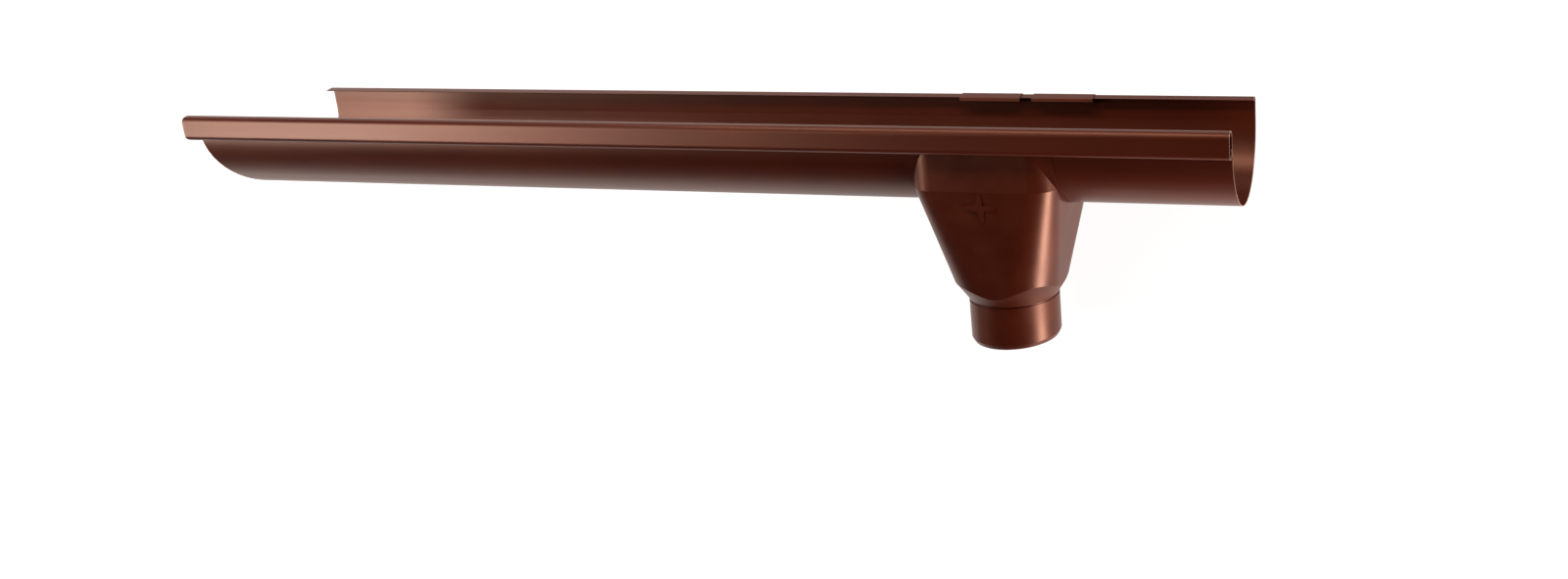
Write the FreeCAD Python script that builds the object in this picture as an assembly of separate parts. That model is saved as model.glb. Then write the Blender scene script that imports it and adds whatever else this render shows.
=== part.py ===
"""Half-round steel rain gutter, one length, with a hook-on funnel outlet fitted to it.

The pieces are drawn as the gutter hangs, in millimetres: +X along it towards the end near
the outlet, +Y towards the wall it hangs on, +Z up, and the origin at the centre of the
spigot's open end. lying() then lays them on their back, as the part rests on a floor: +Y is
up through the trough's mouth, +Z towards the front bead, and the origin is the middle of
the bottom of the whole part's box.

Three pieces of coated sheet steel:
  gutter_channel  one roll-formed length: rear fold, half-round trough, front bead
  outlet_funnel   one pressed piece: saddle, front hook, two rear tabs, hopper, neck
  outlet_spigot   a short round tube round the funnel's neck, drawn in at its open end
"""

import FreeCAD, Part
import math
import os

Vector = FreeCAD.Vector

# ---------------------------------------------------------------- driving dimensions
SHEET = 0.6                  # thickness of every sheet
SEAT_GAP = 0.3               # gap between a seated sheet and the sheet that carries it

GUTTER_LENGTH = 1200.0
OUTLET_FROM_LEFT_END = 938.0
TROUGH_WIDTH = 150.0         # clear width between the trough's walls
FRONT_WALL_STRAIGHT = 11.0   # upright part of the front wall, from the round part up to the bead
REAR_RISE = 8.0              # top of the rear fold above the top of the bead

BEAD_DEPTH = 15.0            # front to back, outside
BEAD_HEIGHT = 28.0           # outside
BEAD_CURL_RADIUS = 5.4       # bottom curl, at mid sheet
BEAD_LIP = 4.0               # upright lip that ends the curl

FOLD_RADIUS = 1.8            # rear fold, at mid sheet
FOLD_ANGLE = 112.0           # how far the rear fold turns in and down
FOLD_FLANGE = 7.5            # flat flange past the fold

OUTLET_WIDTH = 158.0         # saddle, along the gutter
SADDLE_MARGIN = 1.2          # saddle edge standing out past each end of the hopper
SADDLE_REAR_STOP = 5.0       # saddle's rear edge below the top of the bead
HOPPER_DROP = 110.0          # from the gutter's underside down to the spigot's upper rim
HOPPER_UPRIGHT = 50.0        # upright part of the hopper's walls, below the middle of the half round
HOPPER_CORNER = 26.0         # from a corner of the walls to the end of its rounding, at their top
TAPER_FLAT = 18.0            # width of each flat wall that is left at the taper's lower end
TAPER_MARGIN = 1.0           # the taper's walls stand clear of the shoulder's upper rim
SHOULDER_HEIGHT = 9.0        # cone between the taper and the neck
SHOULDER_STEP = 5.0          # the shoulder's upper rim stands out past the spigot
FLARE_SLOPE = 34.0           # degrees from the upright, where the round shoulder meets the walls
NECK_OVERLAP = 11.0          # length of neck held in the spigot
NECK_GAP = 0.1               # radial gap between neck and spigot
RIM_GROOVE = 1.5             # from the spigot's upper rim up to the shoulder
DRAIN_HOLE_MARGIN = 1.0      # radius of the hole in the trough's bottom past the spigot's

SPIGOT_RADIUS = 49.0         # outside, to enter a 100 mm downpipe
SPIGOT_LENGTH = 47.0
LEAD_IN_HEIGHT = 5.0         # open end drawn in, to enter the pipe
LEAD_IN_STEP = 2.5

HOOK_RADIUS = 2.4            # front hook over the bead's lip, at mid sheet
HOOK_LEG = 2.0
TAB_SLOT = 14.0              # gap between the two rear tabs
TAB_TURN_DOWN = 58.0         # bend at the end of each tab, past the gutter's flange
TAB_END_RADIUS = 1.6
TAB_END = 3.0

CROSS_ARM = 15.5             # pressed cross on the hopper's front: centre to tip
CROSS_ROOT = 3.2             # half width of an arm at the centre
CROSS_TIP = 1.4              # half width of an arm at its tip
CROSS_RISE = 1.2
CROSS_BELOW_BEAD = 86.0      # centre of the cross below the top of the bead

# ---------------------------------------------------------------- derived places
HALF_SHEET = SHEET / 2
TROUGH_RADIUS = TROUGH_WIDTH / 2
GUTTER_MID_RADIUS = TROUGH_RADIUS + HALF_SHEET
GUTTER_OUTER_RADIUS = TROUGH_RADIUS + SHEET
BEAD_TOP_RADIUS = (BEAD_DEPTH - SHEET) / 2

GUTTER_UNDERSIDE = SPIGOT_LENGTH + HOPPER_DROP
ARC_CENTRE = GUTTER_UNDERSIDE + GUTTER_OUTER_RADIUS
BEAD_TOP = ARC_CENTRE + FRONT_WALL_STRAIGHT + BEAD_TOP_RADIUS + HALF_SHEET
REAR_TOP = BEAD_TOP + REAR_RISE
REAR_WALL_STRAIGHT = REAR_TOP - HALF_SHEET - FOLD_RADIUS - ARC_CENTRE
LEFT_END = -OUTLET_FROM_LEFT_END
DRAIN_HOLE_RADIUS = SPIGOT_RADIUS + DRAIN_HOLE_MARGIN

LAYER = SHEET + SEAT_GAP     # mid sheet to mid sheet of two sheets seated on each other
SADDLE_MID_RADIUS = GUTTER_MID_RADIUS + LAYER
SADDLE_INNER_RADIUS = SADDLE_MID_RADIUS - HALF_SHEET
SADDLE_OUTER_RADIUS = SADDLE_MID_RADIUS + HALF_SHEET
SADDLE_REAR_TOP = BEAD_TOP - SADDLE_REAR_STOP
LIP_TOP = BEAD_TOP - BEAD_HEIGHT + HALF_SHEET + BEAD_CURL_RADIUS + BEAD_LIP
HOOK_CENTRE = LIP_TOP + SEAT_GAP + HALF_SHEET - HOOK_RADIUS
TAB_TOP = REAR_TOP + LAYER

NECK_RADIUS = SPIGOT_RADIUS - SHEET - NECK_GAP
NECK_BOTTOM = SPIGOT_LENGTH - NECK_OVERLAP
NECK_TOP = SPIGOT_LENGTH + RIM_GROOVE
TAPER_BOTTOM = NECK_TOP + SHOULDER_HEIGHT
TAPER_TOP = ARC_CENTRE - HOPPER_UPRIGHT
SHOULDER_RADIUS = SPIGOT_RADIUS + SHOULDER_STEP
TAPER_FOOT = SHOULDER_RADIUS + TAPER_MARGIN
FLARE_SPREAD = (ARC_CENTRE - TAPER_BOTTOM) * math.tan(math.radians(FLARE_SLOPE))
FRONT_LEAN = math.atan((SADDLE_OUTER_RADIUS - TAPER_FOOT) / (TAPER_TOP - TAPER_BOTTOM))

# turned outlines, as (radius, level) from the lower end up
FUNNEL_OUTLINE = (
    (NECK_RADIUS, NECK_BOTTOM),
    (NECK_RADIUS, NECK_TOP),
    (SHOULDER_RADIUS, TAPER_BOTTOM),
    (SHOULDER_RADIUS + FLARE_SPREAD, ARC_CENTRE),
)
SPIGOT_OUTLINE = (
    (SPIGOT_RADIUS - LEAD_IN_STEP, 0.0),
    (SPIGOT_RADIUS, LEAD_IN_HEIGHT),
    (SPIGOT_RADIUS, SPIGOT_LENGTH),
)


# ---------------------------------------------------------------- sheet-metal helpers
def bent_strip(start, heading, moves):
    """Face of a bent sheet's section in the YZ plane, walked along the sheet's middle.

    start is (y, z) and heading is in degrees from +Y. A move is ("straight", length)
    or ("bend", angle, radius), with a positive angle for a turn to the left.
    """
    y, z = start
    angle = math.radians(heading)
    left, right = [], []

    def sides():
        ny, nz = -math.sin(angle) * HALF_SHEET, math.cos(angle) * HALF_SHEET
        return Vector(0, y + ny, z + nz), Vector(0, y - ny, z - nz)

    first = sides()
    for move in moves:
        before = sides()
        if move[0] == "straight":
            if move[1] < 1e-6:
                continue
            y += math.cos(angle) * move[1]
            z += math.sin(angle) * move[1]
            after = sides()
            left.append(Part.LineSegment(before[0], after[0]).toShape())
            right.append(Part.LineSegment(before[1], after[1]).toShape())
            continue
        turn, radius = math.radians(move[1]), move[2]
        side = 1 if turn > 0 else -1
        centre_y = y - math.sin(angle) * radius * side
        centre_z = z + math.cos(angle) * radius * side
        stations = []
        for share in (0.5, 1.0):
            now = angle + turn * share
            y = centre_y + math.sin(now) * radius * side
            z = centre_z - math.cos(now) * radius * side
            held, angle = angle, now
            stations.append(sides())
            angle = held
        angle += turn
        middle, after = stations
        left.append(Part.Arc(before[0], middle[0], after[0]).toShape())
        right.append(Part.Arc(before[1], middle[1], after[1]).toShape())
    last = sides()
    edges = [Part.LineSegment(first[1], first[0]).toShape()] + left
    edges += [Part.LineSegment(last[0], last[1]).toShape()] + right[::-1]
    return Part.Face(Part.Wire(Part.__sortEdges__(edges)))


def along_gutter(face, low_x, high_x):
    """The face of a section, carried along the gutter from low_x to high_x."""
    face.translate(Vector(low_x, 0, 0))
    return face.extrude(Vector(high_x - low_x, 0, 0))


def solid_of(shape):
    """The one solid that a shape holds, with split faces joined up."""
    solids = shape.removeSplitter().Solids
    if len(solids) != 1:
        raise ValueError("expected one solid, found %d" % len(solids))
    return solids[0]


def moved_in(outline, inset):
    """A turned outline moved inwards, every wall square to itself by the same distance."""
    slopes = [(r2 - r1) / (z2 - z1) for (r1, z1), (r2, z2) in zip(outline, outline[1:])]
    steps = [inset * math.hypot(1.0, slope) for slope in slopes]
    moved = [(outline[0][0] - steps[0], outline[0][1])]
    for i, (radius, level) in enumerate(outline[1:-1]):
        lift = (steps[i + 1] - steps[i]) / (slopes[i + 1] - slopes[i])
        moved.append((radius + slopes[i] * lift - steps[i], level + lift))
    moved.append((outline[-1][0] - steps[-1], outline[-1][1]))
    return moved


def turned_block(outline):
    """The filled block that a turned outline encloses round the Z axis."""
    ring = [(0.0, outline[0][1])] + list(outline) + [(0.0, outline[-1][1])]
    corners = [Vector(radius, 0, level) for radius, level in ring]
    face = Part.Face(Part.makePolygon(corners + corners[:1]))
    return face.revolve(Vector(0, 0, 0), Vector(0, 0, 1), 360)


# ---------------------------------------------------------------- gutter
def gutter_section():
    """Rear flange's free edge, fold, rear wall, half round, front wall, bead, lip."""
    bead_straight = BEAD_HEIGHT - BEAD_TOP_RADIUS - BEAD_CURL_RADIUS - SHEET
    flange_heading = FOLD_ANGLE - 90.0
    lean = math.radians(flange_heading)
    fold_centre = (GUTTER_MID_RADIUS - FOLD_RADIUS, REAR_TOP - HALF_SHEET - FOLD_RADIUS)
    flange_root = (
        fold_centre[0] - math.sin(lean) * FOLD_RADIUS,
        fold_centre[1] + math.cos(lean) * FOLD_RADIUS,
    )
    free_edge = (
        flange_root[0] - math.cos(lean) * FOLD_FLANGE,
        flange_root[1] - math.sin(lean) * FOLD_FLANGE,
    )
    return bent_strip(free_edge, flange_heading, [
        ("straight", FOLD_FLANGE),
        ("bend", -FOLD_ANGLE, FOLD_RADIUS),
        ("straight", REAR_WALL_STRAIGHT),
        ("bend", -180.0, GUTTER_MID_RADIUS),
        ("straight", FRONT_WALL_STRAIGHT),
        ("bend", 180.0, BEAD_TOP_RADIUS),
        ("straight", bead_straight),
        ("bend", 180.0, BEAD_CURL_RADIUS),
        ("straight", BEAD_LIP),
    ])


def gutter_channel():
    channel = along_gutter(gutter_section(), LEFT_END, LEFT_END + GUTTER_LENGTH)
    drain_hole = Part.makeCylinder(DRAIN_HOLE_RADIUS, ARC_CENTRE, Vector(0, 0, 0))
    return solid_of(channel.cut(drain_hole))


# ---------------------------------------------------------------- outlet funnel
def hopper_corner(inset):
    """Apex of the cone that rounds the hopper's front right corner, and three lines down it.

    The lines are the directions of its touching line on the front wall, of its axis, and of
    its touching line on the side wall.
    """
    spread = TAPER_FOOT - TAPER_FLAT / 2
    top = Vector(OUTLET_WIDTH / 2 - SADDLE_MARGIN, -SADDLE_OUTER_RADIUS, TAPER_TOP)
    bottom = Vector(TAPER_FOOT, -TAPER_FOOT, TAPER_BOTTOM)
    apex = top + (top - bottom) * (HOPPER_CORNER / (spread - HOPPER_CORNER))
    edge = (bottom - top).normalize()
    front_normal = edge.cross(Vector(1, 0, 0)).normalize()
    side_normal = edge.cross(Vector(0, 1, 0)).normalize()
    front_line = (bottom - Vector(spread, 0, 0) - apex).normalize()
    turn = edge.getAngle(front_line)
    side_line = edge * math.cos(turn) + side_normal.cross(edge) * math.sin(turn)
    axis = front_line.cross(front_normal).cross(side_line.cross(side_normal)).normalize()
    if axis.z > 0:
        axis = axis * -1
    half_angle = axis.getAngle(front_line)
    return apex + axis * (inset / math.sin(half_angle)), (front_line, axis, side_line)


def corner_ring(apex, lines, level):
    """Corners at one level of the walls' flat parts and of the axes of their rounded corners."""
    corner = [apex + line * ((level - apex.z) / line.z) for line in lines]
    right = corner + [Vector(p.x, -p.y, p.z) for p in corner[::-1]]
    return right + [Vector(-p.x, -p.y, p.z) for p in right]


def corner_cone(apex, lines):
    """Sector of the cone between its touching lines, from the apex to below the taper."""
    front_line, axis, side_line = lines
    reach = 2 * (apex.z - TAPER_BOTTOM)
    across = axis.cross(front_line).cross(axis).getAngle(axis.cross(side_line).cross(axis))
    triangle = Part.makePolygon([apex, apex + axis * reach, apex + front_line * reach, apex])
    return Part.Face(triangle).revolve(apex, axis * -1, math.degrees(across))


def walled_block(inset):
    """The hopper's four walls: flat and leaning, corners rounded by cones, then upright."""
    apex, lines = hopper_corner(inset)
    low = corner_ring(apex, lines, TAPER_BOTTOM)
    high = corner_ring(apex, lines, TAPER_TOP)
    rings = (low, high)
    faces = [Part.Face(Part.makePolygon(ring + ring[:1])) for ring in rings]
    for i in range(len(low)):
        side = [low[i - 1], low[i], high[i], high[i - 1], low[i - 1]]
        faces.append(Part.Face(Part.makePolygon(side)))
    block = Part.makeSolid(Part.makeShell(faces))
    slab = Part.makeBox(
        4 * OUTLET_WIDTH, 4 * OUTLET_WIDTH, TAPER_TOP - TAPER_BOTTOM,
        Vector(-2 * OUTLET_WIDTH, -2 * OUTLET_WIDTH, TAPER_BOTTOM),
    )
    right = corner_cone(apex, lines).common(slab)
    right = [right, right.mirror(Vector(0, 0, 0), Vector(0, 1, 0))]
    left = [cone.mirror(Vector(0, 0, 0), Vector(1, 0, 0)) for cone in right]
    block = solid_of(block.fuse(right + left))
    top = max(block.Faces, key=lambda face: face.CenterOfMass.z)
    return block.fuse(top.extrude(Vector(0, 0, ARC_CENTRE - TAPER_TOP)))


def hopper_block(inset):
    """Neck and shoulder, turned, widening till they meet the hopper's walls."""
    below = Part.makeBox(
        4 * OUTLET_WIDTH, 4 * OUTLET_WIDTH, TAPER_BOTTOM,
        Vector(-2 * OUTLET_WIDTH, -2 * OUTLET_WIDTH, 0),
    )
    walls = walled_block(inset).fuse(below)
    return solid_of(walls.common(turned_block(moved_in(FUNNEL_OUTLINE, inset))))


def trough_block(radius, half_length, top):
    """Everything inside a trough of this radius round the gutter's axis, up to a level."""
    low_left = Vector(-half_length, -radius, ARC_CENTRE)
    low_right = Vector(-half_length, radius, ARC_CENTRE)
    top_left = Vector(-half_length, -radius, top)
    top_right = Vector(-half_length, radius, top)
    bottom = Vector(-half_length, 0, ARC_CENTRE - radius)
    outline = Part.Wire([
        Part.Arc(low_left, bottom, low_right).toShape(),
        Part.LineSegment(low_right, top_right).toShape(),
        Part.LineSegment(top_right, top_left).toShape(),
        Part.LineSegment(top_left, low_left).toShape(),
    ])
    return Part.Face(outline).extrude(Vector(2 * half_length, 0, 0))


def cross_block(inset):
    """A cross with tapering arms, as high as the pressing, on the leaning front wall."""
    corners = []
    for quarter in range(4):
        turn = math.radians(90.0 * quarter)
        for along, aside in (
            (CROSS_ROOT - inset, -CROSS_ROOT + inset),
            (CROSS_ARM - inset, -CROSS_TIP + inset),
            (CROSS_ARM - inset, CROSS_TIP - inset),
        ):
            corners.append(Vector(
                along * math.cos(turn) - aside * math.sin(turn),
                inset,
                along * math.sin(turn) + aside * math.cos(turn),
            ))
    cross = Part.Face(Part.makePolygon(corners + corners[:1])).extrude(Vector(0, -CROSS_RISE, 0))
    cross.rotate(Vector(0, 0, 0), Vector(1, 0, 0), math.degrees(FRONT_LEAN))
    level = BEAD_TOP - CROSS_BELOW_BEAD
    inwards = (TAPER_TOP - level) * math.tan(FRONT_LEAN)
    cross.translate(Vector(0, inwards - SADDLE_OUTER_RADIUS, level))
    return cross


def saddle_hook():
    """Front edge of the saddle: up behind the bead's curl and over its lip."""
    drop = max(0.0, ARC_CENTRE - HOOK_CENTRE)
    lean = math.degrees(math.asin(drop / SADDLE_MID_RADIUS))
    reach = 20.0
    start_angle = math.radians(180.0 + lean + reach)
    start = (
        SADDLE_MID_RADIUS * math.cos(start_angle),
        ARC_CENTRE + SADDLE_MID_RADIUS * math.sin(start_angle),
    )
    return bent_strip(start, 90.0 + lean + reach, [
        ("bend", -reach, SADDLE_MID_RADIUS),
        ("straight", max(0.0, HOOK_CENTRE - ARC_CENTRE)),
        ("bend", 180.0, HOOK_RADIUS),
        ("straight", HOOK_LEG),
    ])


def rear_tab():
    """A tab of the saddle's rear wall, folded over the gutter's rear fold and flange."""
    return bent_strip((SADDLE_MID_RADIUS, ARC_CENTRE), 90.0, [
        ("straight", REAR_WALL_STRAIGHT),
        ("bend", FOLD_ANGLE, FOLD_RADIUS + LAYER),
        ("straight", FOLD_FLANGE + SHEET),
        ("bend", TAB_TURN_DOWN, TAB_END_RADIUS),
        ("straight", TAB_END),
    ])


def outlet_funnel():
    half = OUTLET_WIDTH / 2
    outside = trough_block(SADDLE_OUTER_RADIUS, half, SADDLE_REAR_TOP).fuse(hopper_block(0.0))
    outside = outside.fuse(cross_block(0.0))
    inside = trough_block(SADDLE_INNER_RADIUS, OUTLET_WIDTH, SADDLE_REAR_TOP + SHEET)
    inside = inside.fuse(hopper_block(SHEET)).fuse(cross_block(SHEET))
    above_hook = Part.makeBox(
        OUTLET_WIDTH, SADDLE_OUTER_RADIUS, SADDLE_REAR_TOP,
        Vector(-half, -SADDLE_OUTER_RADIUS - SHEET, min(HOOK_CENTRE, ARC_CENTRE)),
    )
    shell = outside.cut(inside).cut(above_hook)
    hook = along_gutter(saddle_hook(), -half, half)
    left_tab = along_gutter(rear_tab(), -half, -TAB_SLOT / 2)
    right_tab = along_gutter(rear_tab(), TAB_SLOT / 2, half)
    return solid_of(shell.fuse([hook, left_tab, right_tab]))


# ---------------------------------------------------------------- spigot
def outlet_spigot():
    return solid_of(turned_block(SPIGOT_OUTLINE).cut(turned_block(moved_in(SPIGOT_OUTLINE, SHEET))))


# ---------------------------------------------------------------- the part as it lies
def lying(shape):
    """The hanging shape laid on its back: its rear face down on the floor, its front up."""
    shape.rotate(Vector(0, 0, 0), Vector(1, 0, 0), -90)
    shape.translate(Vector(-LEFT_END - GUTTER_LENGTH / 2, -TAB_TOP / 2, SADDLE_OUTER_RADIUS))
    return shape


def main():
    os.makedirs("parts", exist_ok=True)
    for node, build in (
        ("gutter_channel", gutter_channel),
        ("outlet_funnel", outlet_funnel),
        ("outlet_spigot", outlet_spigot),
    ):
        shape = lying(build())
        print("%-15s valid %s volume %.0f mm3" % (node, shape.isValid(), shape.Volume))
        shape.exportStep(os.path.join("parts", node + ".step"))


main()
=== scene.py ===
"""Looks of the gutter section: its coatings, the studio and the camera.

Everything is in metres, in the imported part's frame: +X along the gutter, +Y out through the
trough's mouth (up when it hangs), +Z up from the floor that the part lies on, back down.
"""

import bpy
import math
from mathutils import Matrix, Vector


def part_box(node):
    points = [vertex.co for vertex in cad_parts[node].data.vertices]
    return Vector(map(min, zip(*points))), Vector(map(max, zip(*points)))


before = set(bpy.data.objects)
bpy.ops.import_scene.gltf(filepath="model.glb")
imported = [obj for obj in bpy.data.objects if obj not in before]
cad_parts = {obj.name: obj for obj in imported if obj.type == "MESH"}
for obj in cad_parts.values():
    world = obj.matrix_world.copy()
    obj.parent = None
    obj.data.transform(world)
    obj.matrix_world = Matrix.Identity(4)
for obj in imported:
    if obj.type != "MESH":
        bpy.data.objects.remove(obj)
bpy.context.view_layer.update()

GUTTER_LOW, GUTTER_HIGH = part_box("gutter_channel")
REAR_RISE = 0.008                      # the rear fold stands this far above the bead
BEAD_TOP = GUTTER_HIGH.y - REAR_RISE
FRONT_WALL = GUTTER_LOW.z + 0.1506     # outside of the trough's front wall


# ---------------------------------------------------------------- colours
def linear(red, green, blue):
    """A screen colour, 0 to 255 each, as the linear colour that a shader takes."""
    def channel(value):
        value /= 255.0
        return value / 12.92 if value <= 0.04045 else ((value + 0.055) / 1.055) ** 2.4
    return channel(red), channel(green), channel(blue), 1.0


BROWN = linear(74, 25, 12)
BROWN_DEEP = linear(60, 17, 7)
CUT_STEEL = linear(150, 112, 96)
CUT_DEPTH = 0.0004                     # how far in from the gutter's ends the cut shows

SHEEN_TINT = (1.0, 0.6, 0.42, 1.0)
GLOSS = 0.45
METALLIC = 0.18
ROUGHNESS_LOW, ROUGHNESS_HIGH = 0.34, 0.40
PEEL_DEPTH = 0.000024                  # the coating's orange peel
PEEL_SCALE, STREAK_SCALE, CLOUD_SCALE = 420.0, 60.0, 9.0

LAMP = (1.0, 0.92, 0.85)
WORLD_STRENGTH = 0.03
FLOOR_HALF = 20.0

PAPER_GLOW = 0.88                      # the backdrop's own light, where it is seen
PAPER_LIT = (0.3, 0.3, 0.3, 1.0)       # what the lamps add to it, less in the part's shadow
PAPER_BOUNCE = (0.1, 0.1, 0.1, 1.0)    # what it throws back at the part


# ---------------------------------------------------------------- node helpers
class Nodes:
    """Short calls for building one material's node tree."""

    def __init__(self, name):
        self.material = bpy.data.materials.new(name)
        self.material.use_nodes = True
        self.tree = self.material.node_tree
        self.tree.nodes.clear()

    def add(self, kind, **settings):
        node = self.tree.nodes.new(kind)
        for key, value in settings.items():
            setattr(node, key, value)
        return node

    def link(self, source, target):
        self.tree.links.new(source, target)

    def noise(self, coordinates, scale, detail=2.0, stretch=(1.0, 1.0, 1.0)):
        mapping = self.add("ShaderNodeMapping")
        mapping.inputs["Scale"].default_value = stretch
        self.link(coordinates, mapping.inputs["Vector"])
        texture = self.add("ShaderNodeTexNoise")
        texture.inputs["Scale"].default_value = scale
        texture.inputs["Detail"].default_value = detail
        self.link(mapping.outputs["Vector"], texture.inputs["Vector"])
        return texture.outputs["Fac"]

    def ramp(self, factor, low, high, low_value=0.0, high_value=1.0):
        node = self.add("ShaderNodeMapRange")
        node.inputs["From Min"].default_value = low
        node.inputs["From Max"].default_value = high
        node.inputs["To Min"].default_value = low_value
        node.inputs["To Max"].default_value = high_value
        self.link(factor, node.inputs["Value"])
        return node.outputs["Result"]

    def mix(self, factor, first, second):
        node = self.add("ShaderNodeMix", data_type="RGBA")
        self.link(factor, node.inputs["Factor"])
        for socket, value in ((node.inputs[6], first), (node.inputs[7], second)):
            if isinstance(value, tuple):
                socket.default_value = value
            else:
                self.link(value, socket)
        return node.outputs[2]

    def math(self, operation, first, second):
        node = self.add("ShaderNodeMath", operation=operation)
        for socket, value in zip(node.inputs, (first, second)):
            if isinstance(value, (int, float)):
                socket.default_value = value
            else:
                self.link(value, socket)
        return node.outputs[0]


# ---------------------------------------------------------------- materials
def painted_sheet(name, stretch, streak_share, ends=None):
    """Satin brown coating on steel sheet: faint streaks, orange peel, bare cut ends.

    stretch draws the streaks out along an axis and streak_share scales their fineness. ends
    takes the material's nodes and the place on the part, and gives a socket, 1 on cut ends.
    """
    n = Nodes(name)
    place = n.add("ShaderNodeTexCoord").outputs["Object"]

    streaks = n.noise(place, STREAK_SCALE * streak_share, 3.0, stretch)
    clouds = n.noise(place, CLOUD_SCALE)
    shade = n.math("ADD", n.math("MULTIPLY", streaks, 0.5), n.math("MULTIPLY", clouds, 0.5))
    coat = n.mix(n.ramp(shade, 0.35, 0.65), BROWN_DEEP, BROWN)
    if ends:
        coat = n.mix(ends(n, place), coat, CUT_STEEL)

    shader = n.add("ShaderNodeBsdfPrincipled")
    n.link(coat, shader.inputs["Base Color"])
    rough = n.ramp(streaks, 0.3, 0.7, ROUGHNESS_LOW, ROUGHNESS_HIGH)
    n.link(rough, shader.inputs["Roughness"])
    shader.inputs["Specular IOR Level"].default_value = GLOSS
    shader.inputs["Specular Tint"].default_value = SHEEN_TINT
    shader.inputs["Metallic"].default_value = METALLIC

    relief = n.math("MULTIPLY", n.noise(place, PEEL_SCALE), PEEL_DEPTH)
    bump = n.add("ShaderNodeBump")
    bump.inputs["Distance"].default_value = 1.0
    n.link(relief, bump.inputs["Height"])
    n.link(bump.outputs["Normal"], shader.inputs["Normal"])

    output = n.add("ShaderNodeOutputMaterial")
    n.link(shader.outputs["BSDF"], output.inputs["Surface"])
    return n.material


def cut_ends(n, place):
    """1 on the gutter's two cut ends, where the sheet's core shows."""
    axes = n.add("ShaderNodeSeparateXYZ")
    n.link(place, axes.inputs[0])
    from_middle = n.math("ABSOLUTE", axes.outputs["X"], 0.0)
    return n.math("GREATER_THAN", from_middle, GUTTER_HIGH.x - CUT_DEPTH)


def backdrop_material():
    """White paper: as bright as paper where it is seen, with the part's soft shadow on it."""
    n = Nodes("backdrop_paper")
    ray = n.add("ShaderNodeLightPath")
    seen = n.math("MAXIMUM", ray.outputs["Is Camera Ray"], ray.outputs["Is Glossy Ray"])
    seen = n.math("MAXIMUM", seen, ray.outputs["Is Transmission Ray"])
    glow = n.add("ShaderNodeEmission")
    glow.inputs["Strength"].default_value = PAPER_GLOW
    lit = n.add("ShaderNodeBsdfDiffuse")
    lit.inputs["Color"].default_value = PAPER_LIT
    paper = n.add("ShaderNodeAddShader")
    n.link(glow.outputs["Emission"], paper.inputs[0])
    n.link(lit.outputs["BSDF"], paper.inputs[1])
    bounce = n.add("ShaderNodeBsdfDiffuse")
    bounce.inputs["Color"].default_value = PAPER_BOUNCE
    mix = n.add("ShaderNodeMixShader")
    n.link(seen, mix.inputs["Fac"])
    n.link(bounce.outputs["BSDF"], mix.inputs[1])
    n.link(paper.outputs["Shader"], mix.inputs[2])
    output = n.add("ShaderNodeOutputMaterial")
    n.link(mix.outputs["Shader"], output.inputs["Surface"])
    return n.material


def finish_node(node, material):
    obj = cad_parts[node]
    obj.data.materials.clear()
    obj.data.materials.append(material)


# ---------------------------------------------------------------- studio
def floor():
    half = FLOOR_HALF
    corners = [(-half, -half, 0), (half, -half, 0), (half, half, 0), (-half, half, 0)]
    mesh = bpy.data.meshes.new("studio_floor")
    mesh.from_pydata(corners, [], [(0, 1, 2, 3)])
    obj = bpy.data.objects.new("studio_floor", mesh)
    bpy.context.scene.collection.objects.link(obj)
    obj.data.materials.append(backdrop_material())


def area_light(name, place, target, size, power):
    data = bpy.data.lights.new(name, "AREA")
    data.shape = "RECTANGLE"
    data.size, data.size_y = size
    data.energy = power
    data.color = LAMP
    obj = bpy.data.objects.new(name, data)
    bpy.context.scene.collection.objects.link(obj)
    obj.location = place
    aim = Vector(target) - Vector(place)
    obj.rotation_euler = aim.to_track_quat("-Z", "Y").to_euler()


def world_light():
    world = bpy.data.worlds.new("studio_world")
    world.use_nodes = True
    back = world.node_tree.nodes["Background"]
    back.inputs["Color"].default_value = (1.0, 1.0, 1.0, 1.0)
    back.inputs["Strength"].default_value = WORLD_STRENGTH
    bpy.context.scene.world = world


# ---------------------------------------------------------------- camera
CAMERA_FROM_LEFT_END = 1.364
CAMERA_BEFORE_TROUGH = 0.914
CAMERA_ABOVE_BEAD = 0.183
CAMERA_YAW, CAMERA_PITCH, CAMERA_ROLL = 8.85, 11.35, -0.88
FOCAL_SHARE = 0.63                     # focal length over picture width
SHIFT_RIGHT, SHIFT_UP = -0.3, -0.1


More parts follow.
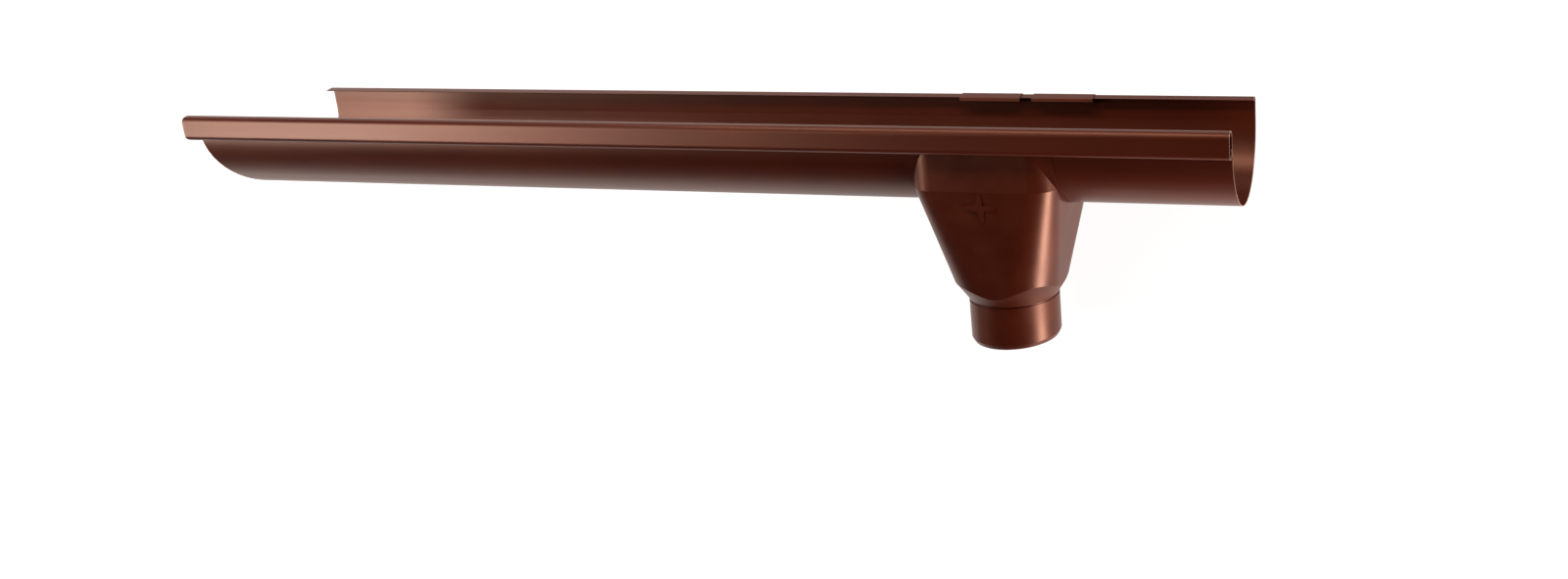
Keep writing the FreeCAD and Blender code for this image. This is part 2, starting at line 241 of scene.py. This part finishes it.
def camera():
    """Looks down on the part as it lies, which is its front as it hangs.

    Yaw, pitch and roll are those of a camera before the hung part; laid_down() turns that
    camera with the part.
    """
    yaw, pitch, roll = (math.radians(a) for a in (CAMERA_YAW, CAMERA_PITCH, CAMERA_ROLL))
    ahead = math.cos(pitch)
    forward = Vector((-math.sin(yaw) * ahead, math.cos(yaw) * ahead, -math.sin(pitch)))
    right = Vector((math.cos(yaw), math.sin(yaw), 0.0))
    up = right.cross(forward)
    turned_right = right * math.cos(roll) + up * math.sin(roll)
    turned_up = up * math.cos(roll) - right * math.sin(roll)

    data = bpy.data.cameras.new("camera")
    data.sensor_fit = "HORIZONTAL"
    data.sensor_width = 36.0
    data.lens = data.sensor_width * FOCAL_SHARE
    data.shift_x = SHIFT_RIGHT
    data.shift_y = SHIFT_UP
    obj = bpy.data.objects.new("camera", data)
    bpy.context.scene.collection.objects.link(obj)

    def laid_down(v):
        return Vector((v.x, v.z, -v.y))

    axes = [laid_down(v) for v in (turned_right, turned_up, -forward)]
    turn = Matrix(axes).transposed()
    obj.matrix_world = Matrix.Translation(Vector((
        GUTTER_LOW.x + CAMERA_FROM_LEFT_END,
        BEAD_TOP + CAMERA_ABOVE_BEAD,
        FRONT_WALL + CAMERA_BEFORE_TROUGH,
    ))) @ turn.to_4x4()
    bpy.context.scene.camera = obj


bpy.context.scene.view_settings.view_transform = "Standard"
gutter_coat = painted_sheet("gutter_coat", (0.02, 1.0, 1.0), 1.0, cut_ends)
outlet_coat = painted_sheet("outlet_coat", (1.0, 1.0, 1.0), 0.5)
finish_node("gutter_channel", gutter_coat)
finish_node("outlet_funnel", outlet_coat)
finish_node("outlet_spigot", outlet_coat)
floor()
world_light()
area_light("front_left", (-1.85, 0.1, 1.35), (-0.3, 0.0, 0.1), (1.2, 0.6), 36.0)
area_light("overhead", (0.1, 1.5, 0.9), (0.1, 0.0, 0.1), (2.6, 0.35), 36.0)
area_light("above_bead", (-0.3, 0.45, 1.25), (0.1, 0.1, 0.1), (1.9, 0.12), 4.0)
area_light("right", (1.25, -0.7, 0.15), (0.4, -0.05, 0.06), (0.8, 0.28), 27.0)
camera()
